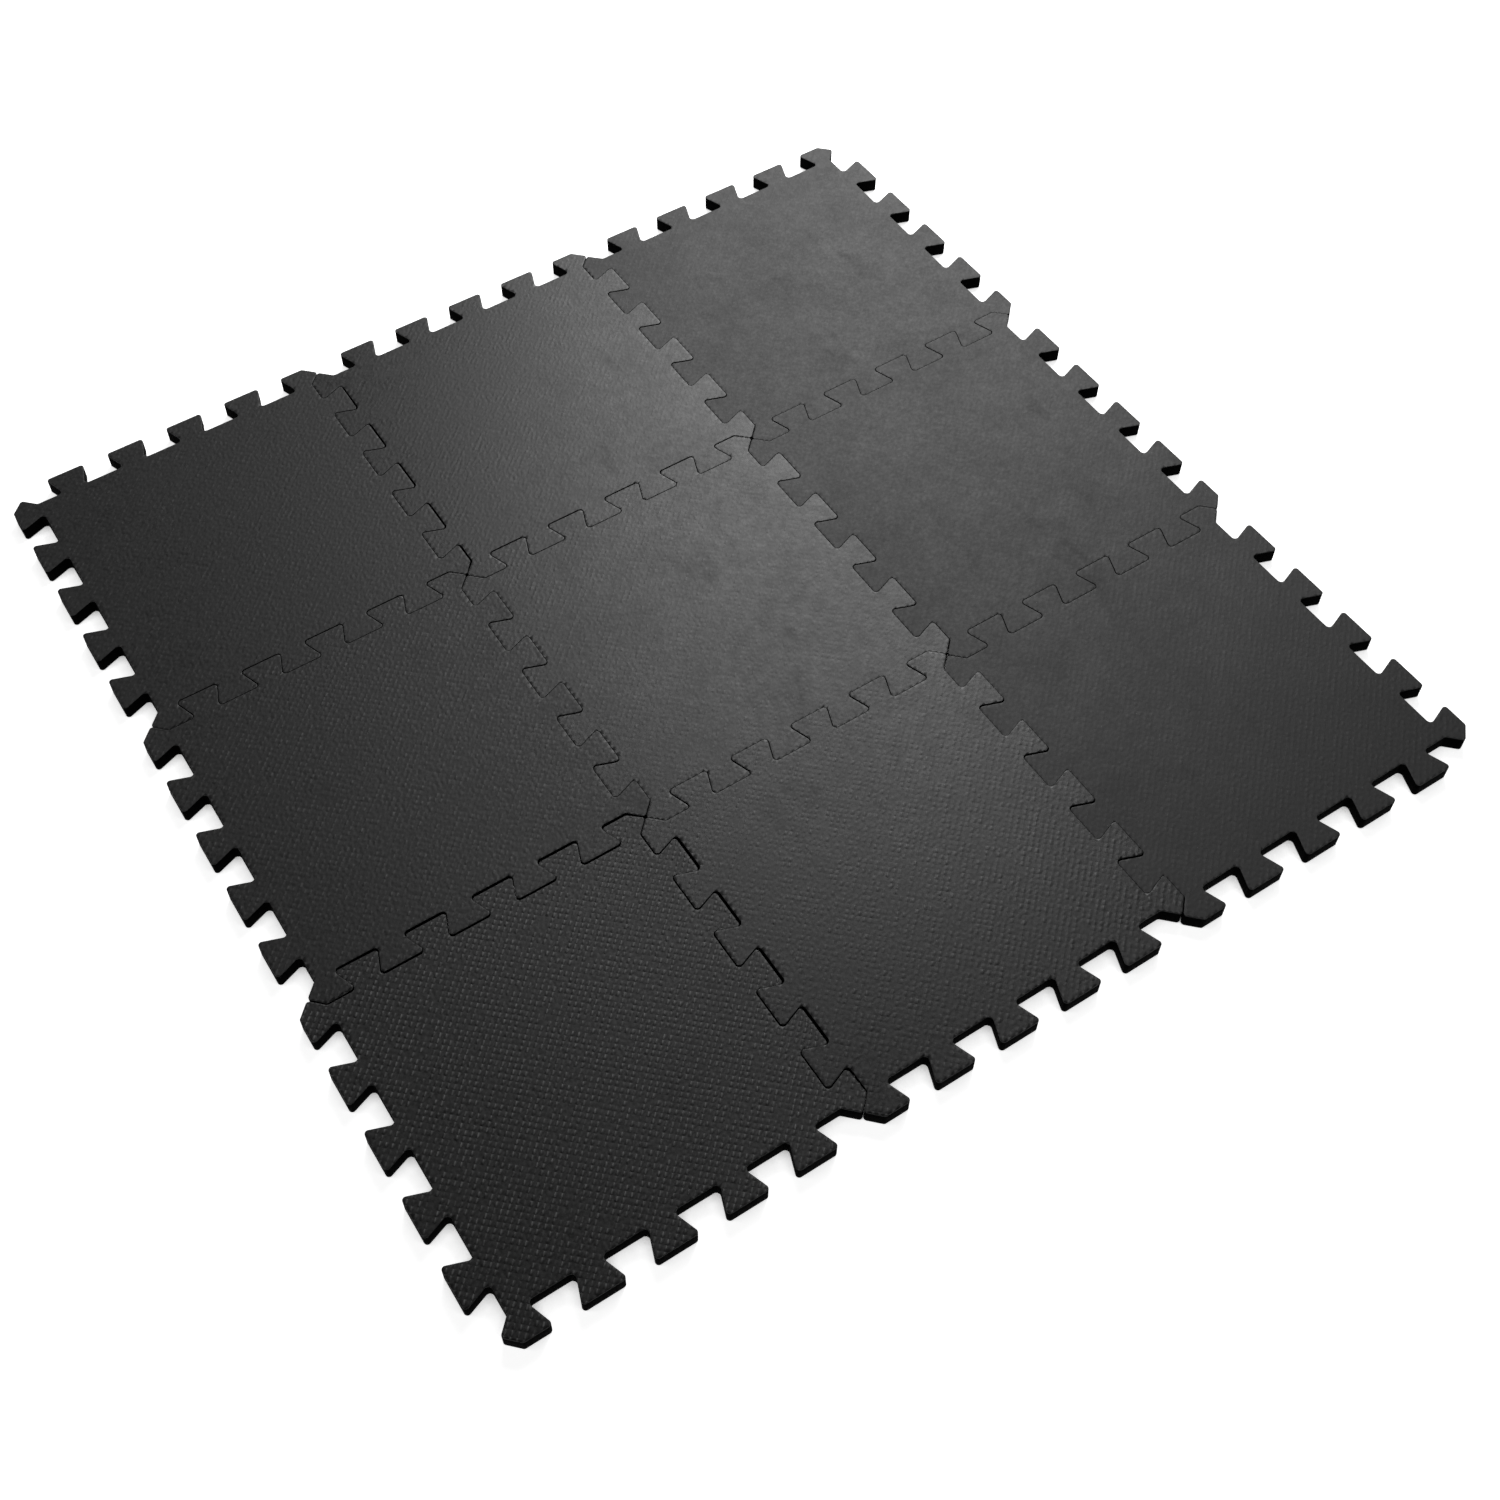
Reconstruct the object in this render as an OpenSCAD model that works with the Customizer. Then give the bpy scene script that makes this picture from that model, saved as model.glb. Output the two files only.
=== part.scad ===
/* [Tile] */
// Distance between the centres of two neighbouring tiles
tile_pitch = 300; // [240:1:400]
// Thickness of the foam slab
tile_thickness = 14; // [8:0.5:30]
// Open seam between two locked tiles, measured square to their edges
seam_gap = 0.6; // [0.2:0.1:0.9]

/* [Interlocking edge] */
// Dovetail tabs along one side of a tile, the corner tab included
tabs_per_side = 5; // [4:1:7]
// Distance from a tile's corner to the middle of its corner tab
corner_tab_centre = 17.25; // [14:0.25:22]
// Depth of a tab from root to head
tab_depth = 23.5; // [16:0.5:32]
// How far each flank of a tab leans out between root and head
tab_undercut = 8.6; // [4:0.1:12]
// Radius of the corners of the tabs and of the sockets between them
corner_radius = 3.1; // [1:0.1:4.5]

/* [Hidden] */
$fn = 48;

// Tabs of one tile fill the sockets of the next, so half a pitch is tab and half is socket
tab_pitch = (tile_pitch - 2 * corner_tab_centre) / (tabs_per_side - 0.5);
half_head = tab_pitch / 4 + tab_undercut / 2;
half_root = tab_pitch / 4 - tab_undercut / 2;
// Heads stand out of the seam line as far as the roots lie behind it
reach = tab_depth / 2;

// Edge of one side as [along the side, out from the seam line], from its first corner to the next
function side_edge() = concat(
    [[0, 0], [reach, reach]],
    [[corner_tab_centre + half_head, reach], [corner_tab_centre + half_root, -reach]],
    [for (k = [1 : tabs_per_side - 1]) each tab_edge(corner_tab_centre + k * tab_pitch)],
    [[tile_pitch - reach, -reach]]
);

// The four corners of one dovetail tab whose middle is at place
function tab_edge(place) = [
    [place - half_root, -reach],
    [place - half_head, reach],
    [place + half_head, reach],
    [place + half_root, -reach]
];

function turned(p, angle) = [
    p.x * cos(angle) - p.y * sin(angle),
    p.x * sin(angle) + p.y * cos(angle)
];

// Seam line of a whole tile, anticlockwise about its centre: the same side four times
function seam_line() = [
    for (quarter = [0 : 3], p = side_edge())
        turned([p.x - tile_pitch / 2, -tile_pitch / 2 - p.y], 90 * quarter)
];

function direction(from, to) = (to - from) / norm(to - from);
function inward(along) = [-along.y, along.x];

// A rounded corner: [centre of its arc, inward normals of the two edges, 1 if convex or -1 if hollow]
function corner(before, at, after) =
    let (
        first = direction(before, at),
        second = direction(at, after),
        bend = sign(cross(first, second)),
        n1 = inward(first),
        n2 = inward(second),
        mitre = (n1 + n2) / (1 + n1 * n2)
    )
    [at + bend * corner_radius * mitre, n1, n2, bend];

// Arcs shrink on convex corners and grow in hollow ones, so the seam is equally wide all along
function arc_radius(bend) = corner_radius - bend * seam_gap / 2;

// Outline of one tile, half a seam inside the seam line
module tile_outline() {
    line = seam_line();
    last = len(line) - 1;
    corners = [
        for (i = [0 : last])
            corner(line[i == 0 ? last : i - 1], line[i], line[i == last ? 0 : i + 1])
    ];
    difference() {
        union() {
            polygon([
                for (c = corners, normal = [c[1], c[2]])
                    c[0] - c[3] * arc_radius(c[3]) * normal
            ]);
            for (c = corners)
                if (c[3] > 0) translate(c[0]) circle(arc_radius(1));
        }
        for (c = corners)
            if (c[3] < 0) translate(c[0]) circle(arc_radius(-1));
    }
}

// One foam tile, counted in tiles from the middle one
module tile(column, row) {
    translate([column * tile_pitch, row * tile_pitch, 0])
        linear_extrude(tile_thickness) tile_outline();
}

module front_left_tile() { color("#2b2b2d") tile(-1, -1); }
module front_centre_tile() { color("#303032") tile(0, -1); }
module front_right_tile() { color("#323234") tile(1, -1); }
module middle_left_tile() { color("#2e2e30") tile(-1, 0); }
module centre_tile() { color("#3a3a3c") tile(0, 0); }
module middle_right_tile() { color("#3e3e40") tile(1, 0); }
module back_left_tile() { color("#363638") tile(-1, 1); }
module back_centre_tile() { color("#444446") tile(0, 1); }
module back_right_tile() { color("#464648") tile(1, 1); }

front_left_tile();
front_centre_tile();
front_right_tile();
middle_left_tile();
centre_tile();
middle_right_tile();
back_left_tile();
back_centre_tile();
back_right_tile();
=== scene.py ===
"""Nine interlocking foam floor tiles: embossed skins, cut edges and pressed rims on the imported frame."""

from __future__ import annotations

import logging
import math
from contextlib import contextmanager
from dataclasses import dataclass, field
from enum import Enum
from typing import Iterator

import bpy
import numpy as np
from mathutils import Matrix, Vector


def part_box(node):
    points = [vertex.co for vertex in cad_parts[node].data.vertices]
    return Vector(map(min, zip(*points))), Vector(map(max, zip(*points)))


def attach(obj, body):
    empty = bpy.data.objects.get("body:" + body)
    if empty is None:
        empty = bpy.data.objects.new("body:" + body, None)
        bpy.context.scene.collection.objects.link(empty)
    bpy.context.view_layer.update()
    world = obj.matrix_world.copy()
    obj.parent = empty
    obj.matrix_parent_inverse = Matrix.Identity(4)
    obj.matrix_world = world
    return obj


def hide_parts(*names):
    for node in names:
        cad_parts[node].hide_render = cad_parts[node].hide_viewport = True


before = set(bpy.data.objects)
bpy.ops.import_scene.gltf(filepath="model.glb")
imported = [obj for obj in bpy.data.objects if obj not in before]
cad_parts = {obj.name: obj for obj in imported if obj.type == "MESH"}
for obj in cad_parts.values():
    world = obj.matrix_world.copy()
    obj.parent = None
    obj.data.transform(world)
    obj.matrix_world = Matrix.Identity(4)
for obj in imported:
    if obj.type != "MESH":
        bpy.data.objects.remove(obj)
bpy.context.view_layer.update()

MM = 0.001
log = logging.getLogger("floor_mat")


class Batch(Enum):
    """The press run that a tile came from; each run left its skin a little glossier or drier."""

    LEFT = "left"
    CENTRE = "centre"
    RIGHT = "right"


class Surface(Enum):
    """The three faces of a foam tile, in the order of its material slots."""

    SKIN = 0
    CUT_EDGE = 1
    UNDERSIDE = 2


# ---------------------------------------------------------------- modelling helpers


def clear_selection() -> None:
    """Deselects every object, so that an operator meets only what is picked next."""
    bpy.ops.object.select_all(action="DESELECT")


def activate(piece: bpy.types.Object) -> None:
    """Makes one object the only selected and active one.

    Args:
        piece: The object that the next operators act on.
    """
    clear_selection()
    piece.select_set(True)
    bpy.context.view_layer.objects.active = piece


@contextmanager
def editing(piece: bpy.types.Object, parts: str = "FACE") -> Iterator[None]:
    """Opens edit mode on one object and closes it again.

    Args:
        piece: The mesh object to edit.
        parts: The select mode, VERT, EDGE or FACE.

    Yields:
        Nothing; the block runs in edit mode.
    """
    activate(piece)
    bpy.ops.object.mode_set(mode="EDIT")
    bpy.ops.mesh.select_mode(type=parts)
    yield
    bpy.ops.object.mode_set(mode="OBJECT")


def face_values(piece: bpy.types.Object, name: str) -> np.ndarray:
    """Reads one vector per face of a mesh.

    Args:
        piece: The mesh object.
        name: The polygon field, such as normal or center.

    Returns:
        An array of one row of three numbers for each face.
    """
    found = np.empty(len(piece.data.polygons) * 3)
    piece.data.polygons.foreach_get(name, found)
    return found.reshape(-1, 3)


def corner_places(piece: bpy.types.Object) -> np.ndarray:
    """Reads the place of every vertex of a mesh.

    Args:
        piece: The mesh object.

    Returns:
        An array of one row of three numbers for each vertex.
    """
    found = np.empty(len(piece.data.vertices) * 3)
    piece.data.vertices.foreach_get("co", found)
    return found.reshape(-1, 3)


def pick_faces(piece: bpy.types.Object, wanted: np.ndarray) -> None:
    """Selects faces by a mask; used before edit mode is opened.

    Args:
        piece: The mesh object, in object mode.
        wanted: One true or false for each face.
    """
    with editing(piece, "FACE"):
        bpy.ops.mesh.select_all(action="DESELECT")
    piece.data.polygons.foreach_set("select", wanted)


def apply_modifiers(piece: bpy.types.Object) -> None:
    """Applies every modifier of an object in order.

    Args:
        piece: The mesh object.
    """
    activate(piece)
    for name in [modifier.name for modifier in piece.modifiers]:
        bpy.ops.object.modifier_apply(modifier=name)


def repeat(piece: bpy.types.Object, count: int, step: tuple[float, float, float]) -> None:
    """Adds an Array modifier that repeats a piece at a fixed step.

    Args:
        piece: The mesh object.
        count: How many copies there are in all.
        step: The way from one copy to the next, in metres.
    """
    rows = piece.modifiers.new("repeat", "ARRAY")
    rows.count = count
    rows.use_relative_offset = False
    rows.use_constant_offset = True
    rows.constant_offset_displace = step


# ---------------------------------------------------------------- shader helpers


@dataclass
class NodeBench:
    """A node tree together with the short calls that fill it."""

    tree: bpy.types.NodeTree

    def add(self, kind: str, **settings: object) -> bpy.types.Node:
        """Adds a node.

        Args:
            kind: The node's type name without its ShaderNode prefix, or the full name of a group node.
            **settings: Node properties to set.

        Returns:
            The new node.
        """
        full = kind if kind.startswith("Node") else f"ShaderNode{kind}"
        node = self.tree.nodes.new(full)
        for name, value in settings.items():
            setattr(node, name, value)
        return node

    def feed(self, node: bpy.types.Node, **values: object) -> bpy.types.Node:
        """Fills input sockets with constants or links, with spaces in names written as underscores.

        Args:
            node: The node whose inputs are filled.
            **values: A socket to link from, or a constant, for each input name.

        Returns:
            The same node.
        """
        for name, value in values.items():
            socket = node.inputs[name.replace("_", " ")]
            if isinstance(value, bpy.types.NodeSocket):
                self.tree.links.new(value, socket)
            else:
                socket.default_value = value
        return node

    def maths(self, operation: str, *values: object) -> bpy.types.NodeSocket:
        """Adds a Math node.

        Args:
            operation: The node's operation.
            *values: A socket or number for each input in order.

        Returns:
            The node's output.
        """
        node = self.add("Math", operation=operation)
        for place, value in enumerate(values):
            if isinstance(value, bpy.types.NodeSocket):
                self.tree.links.new(value, node.inputs[place])
            else:
                node.inputs[place].default_value = value
        return node.outputs[0]

    def stretch(
        self, value: bpy.types.NodeSocket, low: float, high: float, to_low: float, to_high: float
    ) -> bpy.types.NodeSocket:
        """Maps one range onto another and holds the ends.

        Args:
            value: The socket to map.
            low: Start of the range that comes in.
            high: End of the range that comes in.
            to_low: What the start becomes.
            to_high: What the end becomes.

        Returns:
            The mapped value.
        """
        node = self.add("MapRange", clamp=True)
        self.feed(
            node, Value=value, From_Min=low, From_Max=high, To_Min=to_low, To_Max=to_high
        )
        return node.outputs["Result"]

    def grey(self, value: bpy.types.NodeSocket) -> bpy.types.NodeSocket:
        """Turns a number into a neutral colour.

        Args:
            value: The brightness.

        Returns:
            A colour socket.
        """
        node = self.add("CombineColor", mode="RGB")
        for name in ("Red", "Green", "Blue"):
            self.tree.links.new(value, node.inputs[name])
        return node.outputs["Color"]

    def noise(
        self,
        place: bpy.types.NodeSocket,
        size: float | bpy.types.NodeSocket,
        detail: float,
        rough: float = 0.5,
        warp: float = 0.0,
    ) -> bpy.types.NodeSocket:
        """Adds a Noise texture whose grains have a size in metres.

        Args:
            place: The coordinate to read.
            size: The size of a grain in metres, as a number or a socket.
            detail: How many finer layers are added.
            rough: How strong the finer layers are.
            warp: How far the grains are pulled out of shape.

        Returns:
            The noise value, around one half.
        """
        from_socket = isinstance(size, bpy.types.NodeSocket)
        scale = self.maths("DIVIDE", 1.0, size) if from_socket else 1.0 / size
        node = self.add("TexNoise", noise_dimensions="3D")
        self.feed(node, Vector=place, Scale=scale, Detail=detail, Roughness=rough, Distortion=warp)
        return node.outputs["Fac"]

    def swing(self, value: bpy.types.NodeSocket, span: tuple[float, float]) -> bpy.types.NodeSocket:
        """Spreads a range over minus one to one.

        Args:
            value: The socket to spread.
            span: The range that comes in.

        Returns:
            The spread value.
        """
        return self.stretch(value, *span, -1.0, 1.0)

    def around(
        self, value: bpy.types.NodeSocket, middle: float, spread: float
    ) -> bpy.types.NodeSocket:
        """Maps zero to one onto a band about a middle.

        Args:
            value: The socket to map.
            middle: The middle of the band.
            spread: How far the band reaches to each side.

        Returns:
            The mapped value.
        """
        return self.stretch(value, 0.0, 1.0, middle - spread, middle + spread)

    def mask(self, value: bpy.types.NodeSocket, span: tuple[float, float]) -> bpy.types.NodeSocket:
        """Spreads a range over zero to one.

        Args:
            value: The socket to spread.
            span: The range that comes in.

        Returns:
            The spread value.
        """
        return self.stretch(value, *span, 0.0, 1.0)


def new_group(name: str, inputs: dict[str, float], outputs: tuple[str, ...]) -> bpy.types.NodeTree:
    """Makes an empty shader node group with a coordinate input and named number sockets.

    Args:
        name: The group's name.
        inputs: A default value for each number input.
        outputs: The name of each number output.

    Returns:
        The group's tree.
    """
    tree = bpy.data.node_groups.new(name, "ShaderNodeTree")
    tree.interface.new_socket("Place", in_out="INPUT", socket_type="NodeSocketVector")
    for label, value in inputs.items():
        socket = tree.interface.new_socket(label, in_out="INPUT", socket_type="NodeSocketFloat")
        socket.default_value = value
    for label in outputs:
        tree.interface.new_socket(label, in_out="OUTPUT", socket_type="NodeSocketFloat")
    return tree


@dataclass(frozen=True)
class FoamPores:
    """A shared effect: the fine closed cells of foam, as a height and a pit mask."""

    name: str = "foam_pores"
    softness: float = 0.35
    dome_span: tuple[float, float] = (0.1, 0.75)
    fine_share: float = 0.45
    pit_span: tuple[float, float] = (0.62, 0.78)

    def group(self) -> bpy.types.NodeTree:
        """Builds the group once and hands it out after that.

        Returns:
            The group, with Height and Pits outputs.
        """
        if self.name in bpy.data.node_groups:
            return bpy.data.node_groups[self.name]
        tree = new_group(self.name, {"Cell Size": 0.7 * MM}, ("Height", "Pits"))
        bench = NodeBench(tree)
        source = bench.add("NodeGroupInput")
        result = bench.add("NodeGroupOutput")
        place = source.outputs["Place"]
        size = source.outputs["Cell Size"]
        cells = bench.add("TexVoronoi", voronoi_dimensions="3D", feature="SMOOTH_F1")
        scale = bench.maths("DIVIDE", 1.0, size)
        bench.feed(cells, Vector=place, Scale=scale, Smoothness=self.softness, Randomness=1.0)
        fine = bench.noise(place, size, detail=2.0, rough=0.6)
        domes = bench.stretch(cells.outputs["Distance"], *self.dome_span, 1.0, 0.0)
        height = bench.maths("MULTIPLY_ADD", fine, self.fine_share, domes)
        bench.feed(result, Height=height, Pits=bench.mask(fine, self.pit_span))
        return tree


@dataclass(frozen=True)
class HandlingMarks:
    """A shared effect: faint cloudy smudges and wiped patches left by handling and stacking."""

    name: str = "handling_marks"
    cloud_warp: float = 0.4
    cloud_span: tuple[float, float] = (0.28, 0.72)
    smear_turn: float = 0.6
    smear_squeeze: float = 0.45
    smudge_span: tuple[float, float] = (0.61, 0.76)

    def group(self) -> bpy.types.NodeTree:
        """Builds the group once and hands it out after that.

        Returns:
            The group, with Cloud and Smudge outputs.
        """
        if self.name in bpy.data.node_groups:
            return bpy.data.node_groups[self.name]
        sizes = {"Cloud Size": 55.0 * MM, "Smudge Size": 34.0 * MM}
        tree = new_group(self.name, sizes, ("Cloud", "Smudge"))
        bench = NodeBench(tree)
        source = bench.add("NodeGroupInput")
        result = bench.add("NodeGroupOutput")
        place = source.outputs["Place"]
        cloud = bench.noise(
            place, source.outputs["Cloud Size"], detail=4.0, rough=0.55, warp=self.cloud_warp
        )
        smear = bench.add("Mapping", vector_type="POINT")
        turn = (0.0, 0.0, self.smear_turn)
        bench.feed(smear, Vector=place, Rotation=turn, Scale=(1.0, self.smear_squeeze, 1.0))
        patch = bench.noise(smear.outputs["Vector"], source.outputs["Smudge Size"], detail=3.0, rough=0.6)
        bench.feed(
            result,
            Cloud=bench.mask(cloud, self.cloud_span),
            Smudge=bench.mask(patch, self.smudge_span),
        )
        return tree


@dataclass(frozen=True)
class PressWaves:
    """A shared effect: the uneven pebbling that the press leaves over the grains, and its soft mottle."""

    name: str = "press_waves"
    lean: float = 45.0
    lengthening: float = 1.4
    mottle_span: tuple[float, float] = (0.3, 0.7)

    def group(self) -> bpy.types.NodeTree:
        """Builds the group once and hands it out after that.

        Returns:
            The group, with Height and Mottle outputs.
        """
        if self.name in bpy.data.node_groups:
            return bpy.data.node_groups[self.name]
        sizes = {"Wave Size": 2.8 * MM, "Mottle Size": 8.0 * MM}
        tree = new_group(self.name, sizes, ("Height", "Mottle"))
        bench = NodeBench(tree)
        source = bench.add("NodeGroupInput")
        result = bench.add("NodeGroupOutput")
        place = source.outputs["Place"]
        diagonal = bench.add("Mapping", vector_type="TEXTURE")
        turn = (0.0, 0.0, math.radians(self.lean))
        bench.feed(diagonal, Vector=place, Rotation=turn, Scale=(self.lengthening, 1.0, 1.0))
        waves = bench.noise(diagonal.outputs["Vector"], source.outputs["Wave Size"], detail=0.0)
        mottle = bench.noise(place, source.outputs["Mottle Size"], detail=2.0, rough=0.6)
        bench.feed(result, Height=waves, Mottle=bench.swing(mottle, self.mottle_span))
        return tree


@dataclass
class FinishBench(NodeBench):
    """A material's tree with its Principled shader and coordinates in place."""

    material: bpy.types.Material | None = None
    shader: bpy.types.Node | None = None
    place: bpy.types.NodeSocket | None = None

    @classmethod
    def start(cls, name: str) -> FinishBench:
        """Opens a new material.

        Args:
            name: The material's name.

        Returns:
            The bench, ready for a finish to be written on it.
        """
        material = bpy.data.materials.new(name)
        material.use_nodes = True
        tree = material.node_tree
        tree.nodes.clear()
        bench = cls(tree=tree, material=material)
        bench.shader = bench.add("BsdfPrincipled")
        out = bench.add("OutputMaterial")
        tree.links.new(bench.shader.outputs["BSDF"], out.inputs["Surface"])
        bench.place = bench.add("TexCoord").outputs["Object"]
        return bench

    def use(self, effect: FoamPores | HandlingMarks | PressWaves, **values: object) -> bpy.types.Node:
        """Places a shared effect in this material.

        Args:
            effect: The effect whose group is placed.
            **values: The group's own values in this material.

        Returns:
            The group node.
        """
        node = self.add("Group", node_tree=effect.group())
        return self.feed(node, Place=self.place, **values)

    def raise_surface(self, height: bpy.types.NodeSocket, distance: float, strength: float) -> None:
        """Feeds a height to the shader's normal through a Bump node.

        Args:
            height: The height, in parts of the distance.
            distance: The height of one, in metres.
            strength: How much of the effect is used.
        """
        bump = self.add("Bump")
        self.feed(bump, Height=height, Distance=distance, Strength=strength)
        self.feed(self.shader, Normal=bump.outputs["Normal"])


# ---------------------------------------------------------------- finishes


@dataclass(frozen=True)
class EmbossedSkin:
    """The heat-pressed top skin: satin charcoal foam, a little greyer and drier where it was handled.

    A tone or spread multiplies the shade, a satin is added to the roughness, and a level is a height. The
    colour also rises with height, from a painted shade in the valleys to a painted highlight on the grain
    crowns.
    """

    name: str
    roughness: float
    reflectance: float
    mottle_satin: float
    shade: float = 0.009
    cloud_spread: float = 0.14
    pore_depth: float = 0.018 * MM
    wave_depth: float = 0.24 * MM
    skin_level: float = 13.78 * MM
    crown_level: float = 14.0 * MM
    valley_painted_shade: float = 0.4
    crown_painted_highlight: float = 4.0
    pebble_painted_shade: float = 0.8
    pebble_satin: float = 0.05
    mottle_spread: float = 0.45
    pebble_span: tuple[float, float] = (0.25, 0.75)
    pore_size: float = 0.75 * MM
    pit_tone: float = 1.18
    worn_tone: float = 0.86
    worn_satin: float = 0.07
    cloud_satin: float = 0.03

    def build(self) -> bpy.types.Material:
        """Builds the skin's material.

        Returns:
            The material.
        """
        bench = FinishBench.start(self.name)
        marks = bench.use(HandlingMarks()).outputs
        pores = bench.use(FoamPores(), Cell_Size=self.pore_size).outputs
        waves = bench.use(PressWaves()).outputs
        pebbles = bench.swing(waves["Height"], self.pebble_span)
        tone = bench.maths("MULTIPLY", self._brightness(bench, marks, pores, waves, pebbles), self.shade)
        dull = bench.stretch(marks["Smudge"], 0.0, 1.0, 0.0, self.worn_satin)
        satin = bench.around(marks["Cloud"], self.roughness, self.cloud_satin)
        satin = bench.maths("MULTIPLY_ADD", waves["Mottle"], self.mottle_satin, satin)
        satin = bench.maths("MULTIPLY_ADD", pebbles, self.pebble_satin, satin)
        bench.feed(
            bench.shader,
            Base_Color=bench.grey(tone),
            Roughness=bench.maths("ADD", satin, dull),
            Specular_IOR_Level=self.reflectance,
        )
        relief = bench.maths("MULTIPLY", pores["Height"], self.pore_depth / self.wave_depth)
        relief = bench.maths("ADD", relief, waves["Height"])
        bench.raise_surface(relief, self.wave_depth, 1.0)
        return bench.material

    def _brightness(
        self,
        bench: FinishBench,
        marks: bpy.types.NodeOutputs,
        pores: bpy.types.NodeOutputs,
        waves: bpy.types.NodeOutputs,
        pebbles: bpy.types.NodeSocket,
    ) -> bpy.types.NodeSocket:
        """Multiplies all that changes the brightness: wear, pores, the pebbling, which is partly painted
        shade, and the grain's height, painted as shade in the valleys and a highlight on the crowns.

        Args:
            bench: The material's bench.
            marks: The outputs of the handling marks.
            pores: The outputs of the foam pores.
            waves: The outputs of the press waves.
            pebbles: The pebbling, from minus one to one.

        Returns:
            The brightness, around one.
        """
        height = bench.add("SeparateXYZ")
        bench.feed(height, Vector=bench.place)
        tone = bench.around(marks["Cloud"], 1.0, self.cloud_spread)
        for share in (
            bench.stretch(pores["Pits"], 0.0, 1.0, 1.0, self.pit_tone),
            bench.stretch(marks["Smudge"], 0.0, 1.0, 1.0, self.worn_tone),
            bench.maths("MULTIPLY_ADD", waves["Mottle"], self.mottle_spread, 1.0),
            # Partly painted shade: the colour follows the pebbling's height, lighter where it rises and
            # darker in its dips.
            bench.maths("MULTIPLY_ADD", pebbles, self.pebble_painted_shade, 1.0),
            # Painted shade and highlight: the colour darkens in the valleys between grains and brightens
            # on their crowns, by height.
            bench.stretch(
                height.outputs["Z"], self.skin_level, self.crown_level, self.valley_painted_shade, self.crown_painted_highlight
            ),
        ):
            tone = bench.maths("MULTIPLY", tone, share)
        return tone


@dataclass(frozen=True)
class CutEdge:
    """The die-cut wall: raw black foam with open cells and upright drag lines from the blade, painted
    darker than the skin as painted shade.
    """

    name: str = "cut_edge_painted_dark"
    # Painted shade: the same foam as the skin at a third of its shade, so the walls read as black as walls
    # turned from the lamp.
    shade: float = 0.003
    roughness: float = 0.9
    reflectance: float = 0.01
    pore_size: float = 0.9 * MM
    pit_tone: float = 1.9
    drag_width: float = 1.1 * MM
    drag_squeeze: float = 0.06
    drag_share: float = 0.8
    drag_span: tuple[float, float] = (0.3, 0.7)
    drag_satin: float = 0.06
    wall_depth: float = 0.09 * MM
    wall_strength: float = 0.8

    def build(self) -> bpy.types.Material:
        """Builds the cut wall's material.

        Returns:
            The material.
        """
        bench = FinishBench.start(self.name)
        pores = bench.use(FoamPores(), Cell_Size=self.pore_size).outputs
        upright = bench.add("Mapping", vector_type="POINT")
        bench.feed(upright, Vector=bench.place, Scale=(1.0, 1.0, self.drag_squeeze))
        drag = bench.noise(upright.outputs["Vector"], self.drag_width, detail=2.0)
        height = bench.maths("MULTIPLY_ADD", drag, self.drag_share, pores["Height"])
        tone = bench.stretch(pores["Pits"], 0.0, 1.0, self.shade, self.shade * self.pit_tone)
        dull, dullest = self.roughness - self.drag_satin, self.roughness + self.drag_satin
        bench.feed(
            bench.shader,
            Base_Color=bench.grey(tone),
            Roughness=bench.stretch(drag, *self.drag_span, dull, dullest),
            Specular_IOR_Level=self.reflectance,
        )
        bench.raise_surface(height, self.wall_depth, self.wall_strength)
        return bench.material


@dataclass(frozen=True)
class Underside:
    """The lower skin: the same foam with a fine pebbled press mark."""

    name: str = "underside"
    shade: float = 0.019
    shade_spread: float = 0.15
    roughness: float = 0.62
    worn_satin: float = 0.1
    reflectance: float = 0.35
    cloud_size: float = 80.0 * MM
    pebble_size: float = 2.2 * MM
    pebble_depth: float = 0.12 * MM
    pebble_strength: float = 0.7

    def build(self) -> bpy.types.Material:
        """Builds the underside's material.

        Returns:
            The material.
        """
        bench = FinishBench.start(self.name)
        marks = bench.use(HandlingMarks(), Cloud_Size=self.cloud_size).outputs
        pebbles = bench.use(FoamPores(), Cell_Size=self.pebble_size).outputs
        tone = bench.around(marks["Cloud"], self.shade, self.shade * self.shade_spread)
        worn = self.roughness + self.worn_satin
        bench.feed(
            bench.shader,
            Base_Color=bench.grey(tone),
            Roughness=bench.stretch(marks["Smudge"], 0.0, 1.0, self.roughness, worn),
            Specular_IOR_Level=self.reflectance,
        )
        bench.raise_surface(pebbles["Height"], self.pebble_depth, self.pebble_strength)
        return bench.material


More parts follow.
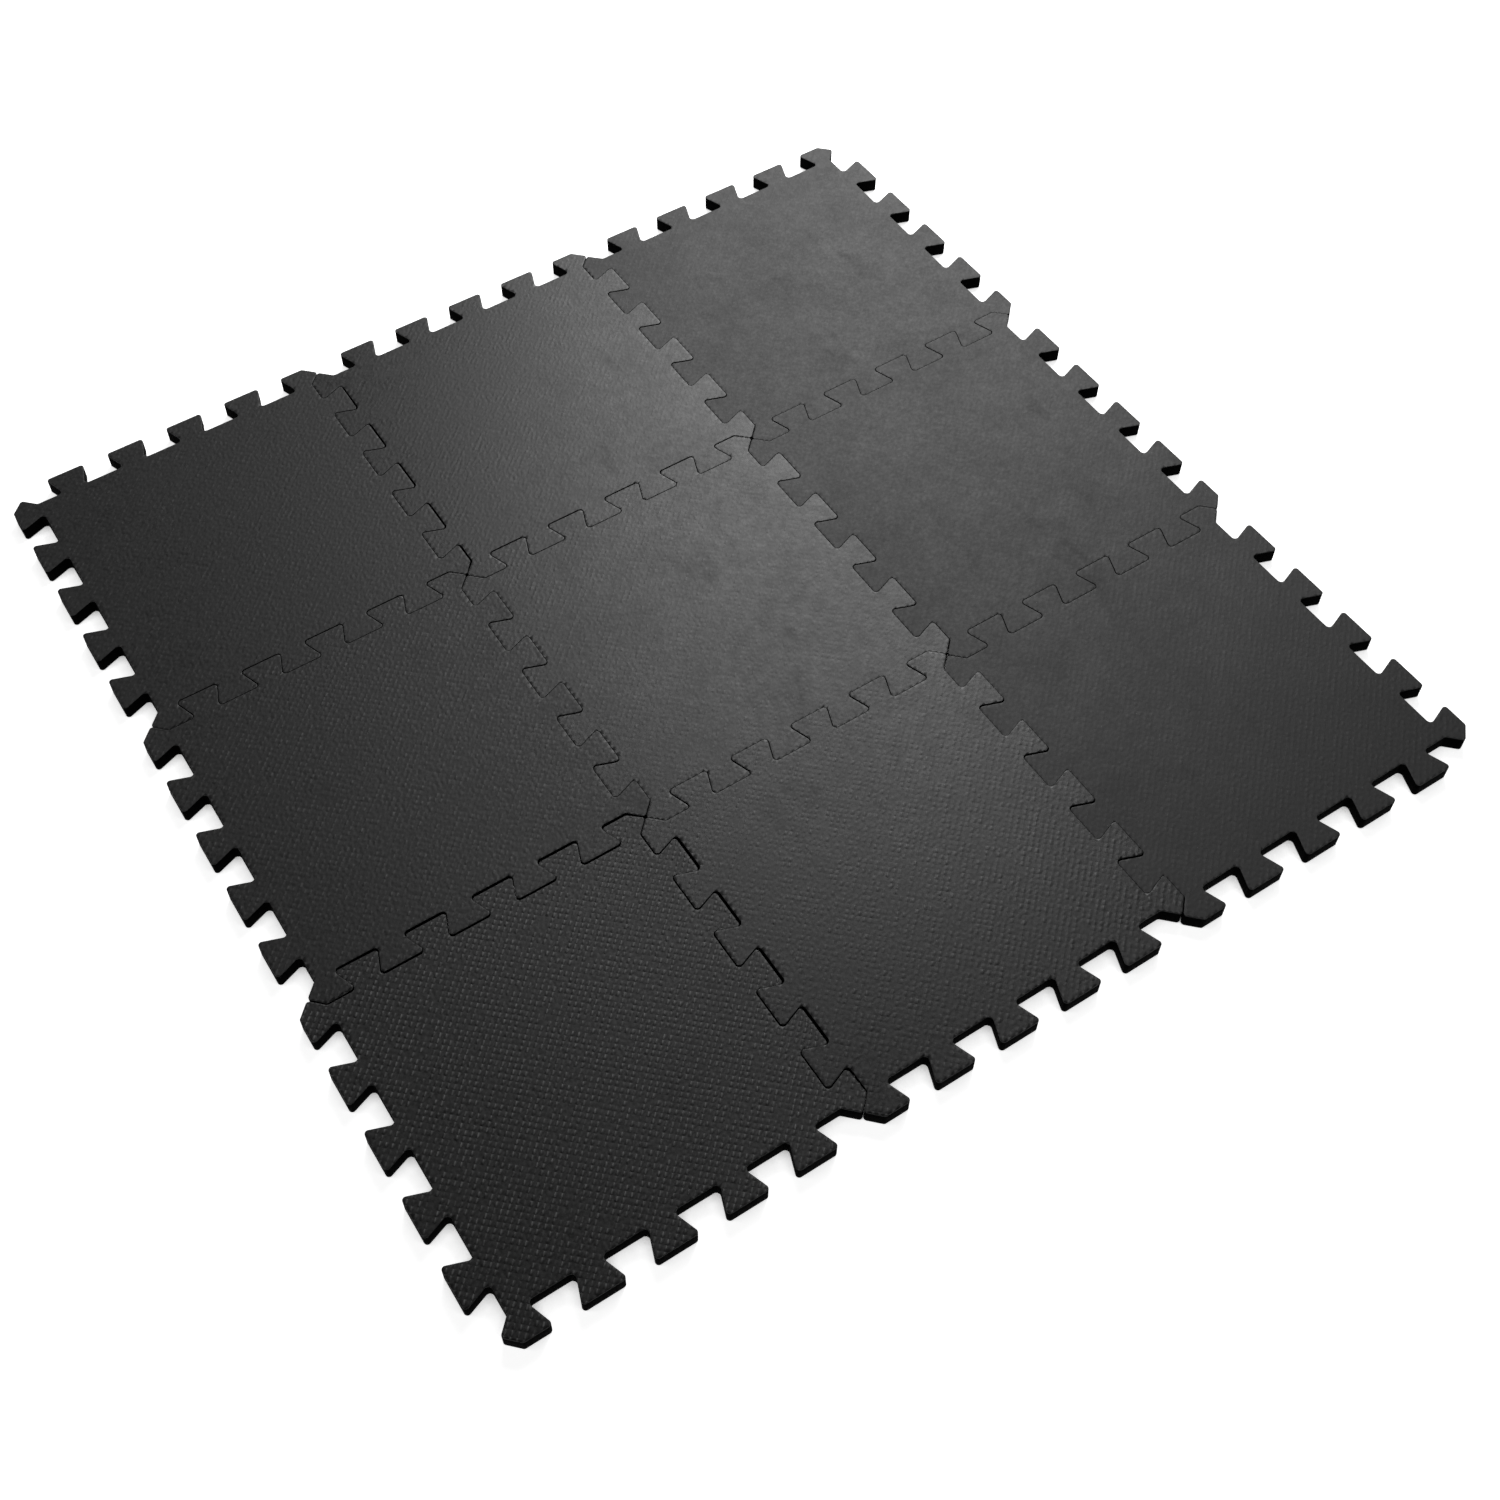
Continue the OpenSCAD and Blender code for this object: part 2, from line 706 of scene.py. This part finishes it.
@dataclass(frozen=True)
class StudioWhite:
    """The plain white of floor and backdrop, which still takes the mat's soft shadow, with its glow dimmed
    in slits and at the mat's foot as painted shade.
    """

    name: str = "studio_white"
    shade: float = 0.8
    glow: float = 0.93
    slit_reach: float = 25.0 * MM
    slit_span: tuple[float, float] = (0.08, 0.4)
    slit_samples: int = 4

    def build(self) -> bpy.types.Material:
        """Builds the material of floor and backdrop.

        Returns:
            The material.
        """
        material = bpy.data.materials.new(self.name)
        material.use_nodes = True
        tree = material.node_tree
        tree.nodes.clear()
        bench = NodeBench(tree)
        matt = bench.add("BsdfDiffuse")
        bench.feed(matt, Color=(self.shade, self.shade, self.shade, 1.0))
        glow = bench.add("Emission")
        # Painted shade: ambient occlusion dims the white glow in the slits between tiles and along the
        # mat's foot.
        open_sky = bench.add("AmbientOcclusion", samples=self.slit_samples)
        bench.feed(open_sky, Distance=self.slit_reach)
        glow_with_painted_slit_shade = bench.stretch(open_sky.outputs["AO"], *self.slit_span, 0.0, self.glow)
        bench.feed(glow, Color=(1.0, 1.0, 1.0, 1.0), Strength=seen_directly(bench, glow_with_painted_slit_shade))
        both = bench.add("AddShader")
        tree.links.new(matt.outputs["BSDF"], both.inputs[0])
        tree.links.new(glow.outputs["Emission"], both.inputs[1])
        out = bench.add("OutputMaterial")
        tree.links.new(both.outputs["Shader"], out.inputs["Surface"])
        return material


def seen_directly(bench: NodeBench, strength: bpy.types.NodeSocket) -> bpy.types.NodeSocket:
    """Gives a strength only to rays from the camera, from gloss and through glass.

    Args:
        bench: The tree that gets the nodes.
        strength: The strength for those rays.

    Returns:
        The strength, and zero for every other ray.
    """
    rays = bench.add("LightPath").outputs
    seen = bench.maths("MAXIMUM", rays["Is Camera Ray"], rays["Is Glossy Ray"])
    seen = bench.maths("MAXIMUM", seen, rays["Is Transmission Ray"])
    return bench.maths("MULTIPLY", seen, strength)


# ---------------------------------------------------------------- the foam sheet and its cutter


@dataclass
class EmbossedSheet:
    """A blank of foam as it leaves the press: rows of raised oval grains, each row half a step on."""

    grain_length: float = 4.6 * MM
    grain_width: float = 1.9 * MM
    grain_height: float = 0.22 * MM
    grain_lean: float = 48.0
    grain_corners: int = 8
    crown_length: float = 0.85
    crown_width: float = 0.42
    across: float = 6.98 * MM
    along: float = 6.52 * MM
    depth_below: float = 20.0 * MM
    weld: float = 0.02 * MM

    def cell(self) -> bpy.types.Object:
        """Models one grain in its diamond of skin, with the skin at height zero.

        Returns:
            The cell, open below.
        """
        flat_centre = (0.0, 0.0, 0.0)
        clear_selection()
        bpy.ops.mesh.primitive_circle_add(
            vertices=self.grain_corners, radius=0.5, fill_type="NOTHING", location=flat_centre
        )
        cell = bpy.context.active_object
        cell.name = "foam_sheet"
        with editing(cell, "EDGE"):
            bpy.ops.mesh.select_all(action="SELECT")
            bpy.ops.transform.resize(
                value=(self.grain_length, self.grain_width, 1.0), center_override=flat_centre
            )
            bpy.ops.mesh.extrude_edges_move(
                TRANSFORM_OT_translate={"value": (0.0, 0.0, self.grain_height)}
            )
            bpy.ops.transform.resize(
                value=(self.crown_length, self.crown_width, 1.0), center_override=flat_centre
            )
            bpy.ops.mesh.edge_face_add()
            bpy.ops.mesh.select_all(action="SELECT")
            # With no window the turn runs the other way, so it is written as minus the lean.
            bpy.ops.transform.rotate(
                value=-math.radians(self.grain_lean), orient_axis="Z", center_override=flat_centre
            )
            bpy.ops.mesh.select_all(action="DESELECT")
            bpy.ops.mesh.primitive_circle_add(
                vertices=4, radius=0.5, fill_type="NOTHING", location=flat_centre
            )
            bpy.ops.transform.resize(value=(self.across, self.along, 1.0), center_override=flat_centre)
            bpy.ops.mesh.select_all(action="DESELECT")
            bpy.ops.mesh.select_non_manifold(extend=False)
            bpy.ops.mesh.bridge_edge_loops()
        return cell

    def blank(self, span: float, top: float) -> bpy.types.Object:
        """Repeats the cell into a closed slab that is wider and deeper than a tile.

        Args:
            span: The width that the slab must cover, in metres.
            top: The height of the grain tops.

        Returns:
            The slab, centred on the origin.
        """
        sheet = self.cell()
        columns = math.ceil(span / self.across) + 1
        rows = math.ceil(span / self.along) + 1
        repeat(sheet, 2, (self.across / 2, self.along / 2, 0.0))
        repeat(sheet, columns, (self.across, 0.0, 0.0))
        repeat(sheet, rows, (0.0, self.along, 0.0))
        apply_modifiers(sheet)
        with editing(sheet, "EDGE"):
            bpy.ops.mesh.select_all(action="SELECT")
            bpy.ops.mesh.remove_doubles(threshold=self.weld)
            bpy.ops.mesh.select_all(action="DESELECT")
            bpy.ops.mesh.select_non_manifold(extend=False)
            bpy.ops.mesh.extrude_edges_move(
                TRANSFORM_OT_translate={"value": (0.0, 0.0, -self.depth_below)}
            )
            bpy.ops.mesh.edge_face_add()
            bpy.ops.mesh.select_all(action="SELECT")
            bpy.ops.mesh.normals_make_consistent(inside=False)
        places = corner_places(sheet)
        middle = (places.min(0) + places.max(0)) / 2
        with editing(sheet, "VERT"):
            bpy.ops.mesh.select_all(action="SELECT")
            bpy.ops.transform.translate(value=(-middle[0], -middle[1], top - self.grain_height))
        return sheet


@dataclass
class CuttingDie:
    """The puzzle-shaped cutter that also presses the rim down, made from one packed tile.

    Each step of a rim is how far inwards and how far outwards its ring goes, in millimetres.
    """

    rim_drop: float = 0.6 * MM
    rim_steps: tuple[tuple[float, float], ...] = (
        (0.04, 0.2),
        (0.08, 0.16),
        (0.12, 0.1),
        (0.2, 0.08),
        (0.4, 0.06),
    )
    foot_drop: float = 0.5 * MM
    foot_steps: tuple[tuple[float, float], ...] = (
        (0.12, 0.28),
        (0.28, 0.16),
        (0.3, 0.06),
        (1.0, 0.0),
    )
    weld: float = 0.001 * MM
    flat_angle: float = 0.5
    level_normal: float = 0.9

    def cutter(self, node: bpy.types.Object) -> bpy.types.Object:
        """Copies a packed tile, merges its loose triangles and rounds its rims.

        Args:
            node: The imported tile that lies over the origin.

        Returns:
            The cutter, a closed solid.
        """
        die = bpy.data.objects.new("tile_cutter", node.data.copy())
        bpy.context.scene.collection.objects.link(die)
        die.data.materials.clear()
        with editing(die, "FACE"):
            bpy.ops.mesh.select_all(action="SELECT")
            bpy.ops.mesh.remove_doubles(threshold=self.weld)
            bpy.ops.mesh.dissolve_limited(angle_limit=math.radians(self.flat_angle))
        self._round(die, 1.0, self.rim_drop, self.rim_steps)
        self._round(die, -1.0, self.foot_drop, self.foot_steps)
        return die

    def _round(
        self, die: bpy.types.Object, side: float, drop: float, steps: tuple[tuple[float, float], ...]
    ) -> None:
        """Rounds one rim by moving its flat face in and then stepping back out.

        Args:
            die: The cutter.
            side: 1 for the upper rim, -1 for the lower one.
            drop: How far down the wall the rounding starts.
            steps: How far inwards and outwards each ring goes, in millimetres.
        """
        pick_faces(die, face_values(die, "normal")[:, 2] * side > self.level_normal)
        with editing(die, "FACE"):
            bpy.ops.transform.translate(value=(0.0, 0.0, -side * drop))
            for inwards, outwards in steps:
                bpy.ops.mesh.inset(
                    thickness=inwards * MM, depth=outwards * MM, use_even_offset=True, use_boundary=True
                )


@dataclass
class MasterTile:
    """The one tile that all nine are copied from: an embossed blank cut by the die."""

    sheet: EmbossedSheet = field(default_factory=EmbossedSheet)
    die: CuttingDie = field(default_factory=CuttingDie)
    piece: bpy.types.Object | None = None
    spare_width: float = 4.0 * MM
    smooth_angle: float = 36.0
    rim_line: float = 0.62 * MM
    sloping_normal: float = 0.15

    def build(self, node_name: str) -> MasterTile:
        """Cuts the blank and sorts its faces into the three surfaces.

        Args:
            node_name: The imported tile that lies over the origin.

        Returns:
            This master, with its piece over the origin.
        """
        low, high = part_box(node_name)
        blank = self.sheet.blank(high.x - low.x + self.spare_width, high.z)
        cutter = self.die.cutter(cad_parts[node_name])
        cut = blank.modifiers.new("die_cut", "BOOLEAN")
        cut.operation = "INTERSECT"
        cut.solver = "EXACT"
        cut.object = cutter
        apply_modifiers(blank)
        bpy.data.objects.remove(cutter)
        blank.name = "master_tile"
        blank.data.materials.clear()
        for _ in Surface:
            blank.data.materials.append(None)
        self._sort_faces(blank, high.z)
        activate(blank)
        bpy.ops.object.shade_smooth_by_angle(angle=math.radians(self.smooth_angle))
        self.piece = blank
        return self

    def _sort_faces(self, tile: bpy.types.Object, top: float) -> None:
        """Gives each face its surface by its height and the way it faces.

        Args:
            tile: The cut tile.
            top: The height of the tile's top.
        """
        normals = face_values(tile, "normal")
        centres = face_values(tile, "center")
        upper = (centres[:, 2] > top - self.rim_line) & (normals[:, 2] > self.sloping_normal)
        surface = np.full(len(normals), Surface.CUT_EDGE.value, dtype=np.int32)
        surface[upper] = Surface.SKIN.value
        surface[normals[:, 2] < -self.sloping_normal] = Surface.UNDERSIDE.value
        tile.data.polygons.foreach_set("material_index", surface)


@dataclass(frozen=True)
class TabEnds:
    """How far the tab ends of each side of a tile have drawn in, in millimetres."""

    front: float = 0.0
    right: float = 0.0
    back: float = 0.0
    left: float = 0.0

    def by_side(self) -> Iterator[tuple[float, np.ndarray]]:
        """Pairs what each side drew in with the way that the side faces.

        Yields:
            A length in metres and a level unit vector.
        """
        for quarter, amount in enumerate((self.front, self.right, self.back, self.left)):
            angle = math.radians(90.0 * (quarter - 1))
            yield amount * MM, np.array((math.cos(angle), math.sin(angle), 0.0))


@dataclass
class FoamTile:
    """One tile of the mat: its batch, the share of its grain that stayed, its slip and its tab ends.

    The slip is how far the tile lies off its place, to the right and to the back, in millimetres.
    """

    body: str
    batch: Batch
    relief: float
    slip: tuple[float, float]
    tab_ends: TabEnds = TabEnds()
    unevenness: float = 0.6
    share_limits: tuple[float, float] = (0.1, 1.9)
    rows_each_way: int = 128
    crown_clearance: float = 0.1 * MM
    soft_length: float = 8.0 * MM
    held_rim: float = 422.0 * MM
    hold_length: float = 6.0 * MM

    def build(
        self, master: MasterTile, materials: dict[Surface, bpy.types.Material]
    ) -> bpy.types.Object:
        """Copies the master to this tile's place and binds it to its packed tile.

        Args:
            master: The built master tile, over the origin.
            materials: The material of each surface.

        Returns:
            The finished tile.
        """
        low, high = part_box(self.body)
        centre = (np.array(low) + np.array(high)) / 2
        tile = bpy.data.objects.new(f"{self.body}_foam", master.piece.data.copy())
        bpy.context.scene.collection.objects.link(tile)
        self._press_grain(tile, master.sheet, high.z - master.sheet.grain_height)
        self._draw_in_tabs(tile, centre[:2])
        right, back = self.slip
        lies_at = (centre[0] + right * MM, centre[1] + back * MM, 0.0)
        tile.data.transform(Matrix.Translation(lies_at))
        for surface in Surface:
            tile.data.materials[surface.value] = materials[surface]
        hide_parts(self.body)
        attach(tile, self.body)
        return tile

    def _press_grain(self, tile: bpy.types.Object, sheet: EmbossedSheet, skin: float) -> None:
        """Presses the grain of the skin down to what this tile kept of it, each grain its own way.

        What a grain keeps is drawn for its place in the rows, so it is the same in every run.

        Args:
            tile: The tile, still over the origin.
            sheet: The sheet that the tile was cut from.
            skin: The height of the skin between the grains.
        """
        mesh = tile.data
        corners = np.empty(len(mesh.loops), dtype=np.int32)
        mesh.loops.foreach_get("vertex_index", corners)
        corner_counts = np.empty(len(mesh.polygons), dtype=np.int32)
        mesh.polygons.foreach_get("loop_total", corner_counts)
        centres = face_values(tile, "center")
        crowns = centres[:, 2] > skin + self.crown_clearance
        half_steps = np.array((sheet.across, sheet.along)) / 2
        column, row = np.floor(centres[:, :2] / half_steps).astype(int).T + self.rows_each_way
        rows = 2 * self.rows_each_way
        dice = np.random.default_rng(len(self.body) + int(self.relief * 1000))
        drawn = dice.normal(1.0, self.unevenness, (rows, rows))
        shares = self.relief * np.clip(drawn[column, row], *self.share_limits)
        owner = np.repeat(np.arange(len(crowns)), corner_counts)
        on_crown = crowns[owner]
        places = corner_places(tile)
        kept = np.full(len(places), self.relief)
        kept[corners[on_crown]] = np.minimum(shares[owner[on_crown]], 1.0)
        raised = places[:, 2] > skin
        places[raised, 2] = skin + (places[raised, 2] - skin) * kept[raised]
        mesh.vertices.foreach_set("co", places.ravel())
        mesh.update()

    def _draw_in_tabs(self, tile: bpy.types.Object, centre: np.ndarray) -> None:
        """Shrinks the ends of the tabs side by side, all but those at the mat's own rim.

        Args:
            tile: The tile, still over the origin.
            centre: Where the middle of the tile will lie.
        """
        places = corner_places(tile)
        from_middle = np.abs(places[:, :2] + centre).max(axis=1)
        held = np.clip((self.held_rim - from_middle) / self.hold_length, 0.0, 1.0)
        reach = places[:, 0].max()
        for amount, outward in self.tab_ends.by_side():
            share = np.clip((places @ outward - reach + self.soft_length) / self.soft_length, 0.0, 1.0)
            drawn = amount * share**2 * (3.0 - 2.0 * share) * held
            places -= drawn[:, None] * outward
        tile.data.vertices.foreach_set("co", places.ravel())
        tile.data.update()


@dataclass
class PuzzleMat:
    """The whole mat: three rows of three tiles, cut from one pattern and laid by hand."""

    skins: dict[Batch, EmbossedSkin] = field(
        default_factory=lambda: {
            Batch.LEFT: EmbossedSkin(
                "left_batch_skin",
                roughness=0.569,
                reflectance=0.378,
                mottle_satin=0.05,
                valley_painted_shade=0.3,
                crown_painted_highlight=5.0,
            ),
            Batch.CENTRE: EmbossedSkin(
                "centre_batch_skin",
                roughness=0.46,
                reflectance=0.333,
                mottle_satin=0.045,
                wave_depth=0.14 * MM,
                pebble_satin=0.015,
            ),
            Batch.RIGHT: EmbossedSkin(
                "right_batch_skin",
                roughness=0.613,
                reflectance=0.345,
                mottle_satin=0.03,
                wave_depth=0.12 * MM,
                pebble_satin=0.03,
            ),
        }
    )
    edge: CutEdge = field(default_factory=CutEdge)
    underside: Underside = field(default_factory=Underside)

    def layout(self) -> list[FoamTile]:
        """Lists the tiles as they lie.

        Returns:
            The nine tiles, front row first and left to right.
        """
        left, centre, right = Batch.LEFT, Batch.CENTRE, Batch.RIGHT
        return [
            FoamTile("front_left_tile", left, 1.0, (0.02, 0.15), TabEnds(right=1.5, back=1.35)),
            FoamTile("front_centre_tile", centre, 0.26, (0.24, 0.65), TabEnds(back=0.13, left=0.23)),
            FoamTile("front_right_tile", right, 0.13, (-0.28, -0.12)),
            FoamTile(
                "middle_left_tile", left, 0.25, (0.48, 0.5), TabEnds(front=0.86, right=0.02, back=0.83)
            ),
            FoamTile(
                "centre_tile", centre, 0.16, (-0.01, -0.02), TabEnds(front=0.17, right=0.17, back=0.62)
            ),
            FoamTile("middle_right_tile", right, 0.11, (-0.28, -0.35)),
            FoamTile("back_left_tile", left, 0.145, (0.4, 0.07), TabEnds(front=0.24, right=1.49)),
            FoamTile("back_centre_tile", centre, 0.1, (-0.06, -0.12), TabEnds(right=0.11, left=0.13)),
            FoamTile("back_right_tile", right, 0.145, (-0.52, -0.7), TabEnds(left=0.16)),
        ]

    def build(self) -> list[bpy.types.Object]:
        """Builds the master and lays all nine tiles.

        Returns:
            The nine tiles.
        """
        skins = {batch: skin.build() for batch, skin in self.skins.items()}
        edge = self.edge.build()
        underside = self.underside.build()
        master = MasterTile().build("centre_tile")
        tiles = []
        for spot in self.layout():
            materials = {
                Surface.SKIN: skins[spot.batch],
                Surface.CUT_EDGE: edge,
                Surface.UNDERSIDE: underside,
            }
            tile = spot.build(master, materials)
            tiles.append(tile)
            log.info("laid %s, %d faces", tile.name, len(tile.data.polygons))
        bpy.data.objects.remove(master.piece)
        return tiles


# ---------------------------------------------------------------- studio


@dataclass
class StudioLamp:
    """One rectangular softbox."""

    name: str
    place: tuple[float, float, float]
    aim: tuple[float, float, float]
    width: float
    height: float
    power: float

    def build(self) -> bpy.types.Object:
        """Hangs the softbox.

        Returns:
            The lamp.
        """
        lamp = bpy.data.lights.new(self.name, "AREA")
        lamp.shape = "RECTANGLE"
        lamp.size = self.width
        lamp.size_y = self.height
        lamp.energy = self.power
        hung = bpy.data.objects.new(self.name, lamp)
        bpy.context.scene.collection.objects.link(hung)
        hung.location = self.place
        way = Vector(self.aim) - Vector(self.place)
        hung.rotation_euler = way.to_track_quat("-Z", "Y").to_euler()
        return hung


@dataclass
class StudioCamera:
    """The camera that looks down over the mat's left front corner."""

    place: tuple[float, float, float] = (-0.5569, -0.8975, 1.3482)
    aim: tuple[float, float, float] = (-0.0469, -0.0292, 0.014)
    roll: float = -2.0963
    lens: float = 47.3445
    sensor: float = 36.0
    shift: tuple[float, float] = (0.0504, -0.0599)

    def build(self) -> bpy.types.Object:
        """Sets the camera up and makes it the scene's own.

        Returns:
            The camera.
        """
        data = bpy.data.cameras.new("studio_camera")
        data.lens = self.lens
        data.sensor_width = self.sensor
        data.shift_x, data.shift_y = self.shift
        camera = bpy.data.objects.new("studio_camera", data)
        bpy.context.scene.collection.objects.link(camera)
        way = Vector(self.aim) - Vector(self.place)
        level = way.to_track_quat("-Z", "Y").to_matrix().to_4x4()
        camera.matrix_world = (
            Matrix.Translation(self.place) @ level @ Matrix.Rotation(math.radians(self.roll), 4, "Z")
        )
        bpy.context.scene.camera = camera
        return camera


@dataclass
class Studio:
    """The room round the mat: pale floor and backdrop, even grey light from above and a large softbox."""

    radius: float = 9.0
    rim_corners: int = 96
    floor_drop: float = 0.4 * MM
    backdrop_height: float = 5.0
    surround: float = 0.03
    white: StudioWhite = field(default_factory=StudioWhite)
    camera: StudioCamera = field(default_factory=StudioCamera)
    lamps: tuple[StudioLamp, ...] = (
        StudioLamp(
            "back_softbox",
            place=(0.99, 1.01, 1.04),
            aim=(0.05, 0.05, 0.0),
            width=1.11,
            height=1.54,
            power=42.4,
        ),
    )

    def build(self) -> None:
        """Builds floor, backdrop, surround, lamps and camera."""
        self._lay_floor()
        self._fill_surround()
        for lamp in self.lamps:
            lamp.build()
        self.camera.build()

    def _lay_floor(self) -> None:
        """Lays the floor just under the mat, raises the backdrop from its rim and gives both the studio
        white.
        """
        clear_selection()
        bpy.ops.mesh.primitive_circle_add(
            vertices=self.rim_corners,
            radius=self.radius,
            fill_type="NGON",
            location=(0.0, 0.0, -self.floor_drop),
        )
        floor = bpy.context.active_object
        floor.name = "studio_floor"
        with editing(floor, "EDGE"):
            bpy.ops.mesh.select_all(action="DESELECT")
            bpy.ops.mesh.select_non_manifold(extend=False)
            bpy.ops.mesh.extrude_edges_move(
                TRANSFORM_OT_translate={"value": (0.0, 0.0, self.backdrop_height)}
            )
        floor.data.materials.append(self.white.build())

    def _fill_surround(self) -> None:
        """Sets an even grey light over the top of the backdrop."""
        world = bpy.data.worlds.new("surround")
        world.use_nodes = True
        glow = world.node_tree.nodes["Background"]
        glow.inputs["Color"].default_value = (1.0, 1.0, 1.0, 1.0)
        glow.inputs["Strength"].default_value = self.surround
        bpy.context.scene.world = world


def main() -> None:
    """Builds the studio and the mat, and reports each piece."""
    logging.basicConfig(level=logging.INFO, format="%(name)s: %(message)s")
    Studio().build()
    log.info("studio is up")
    tiles = PuzzleMat().build()
    log.info("mat of %d tiles is laid", len(tiles))
    bpy.context.scene.view_settings.view_transform = "Standard"


if __name__ == "__main__":
    main()
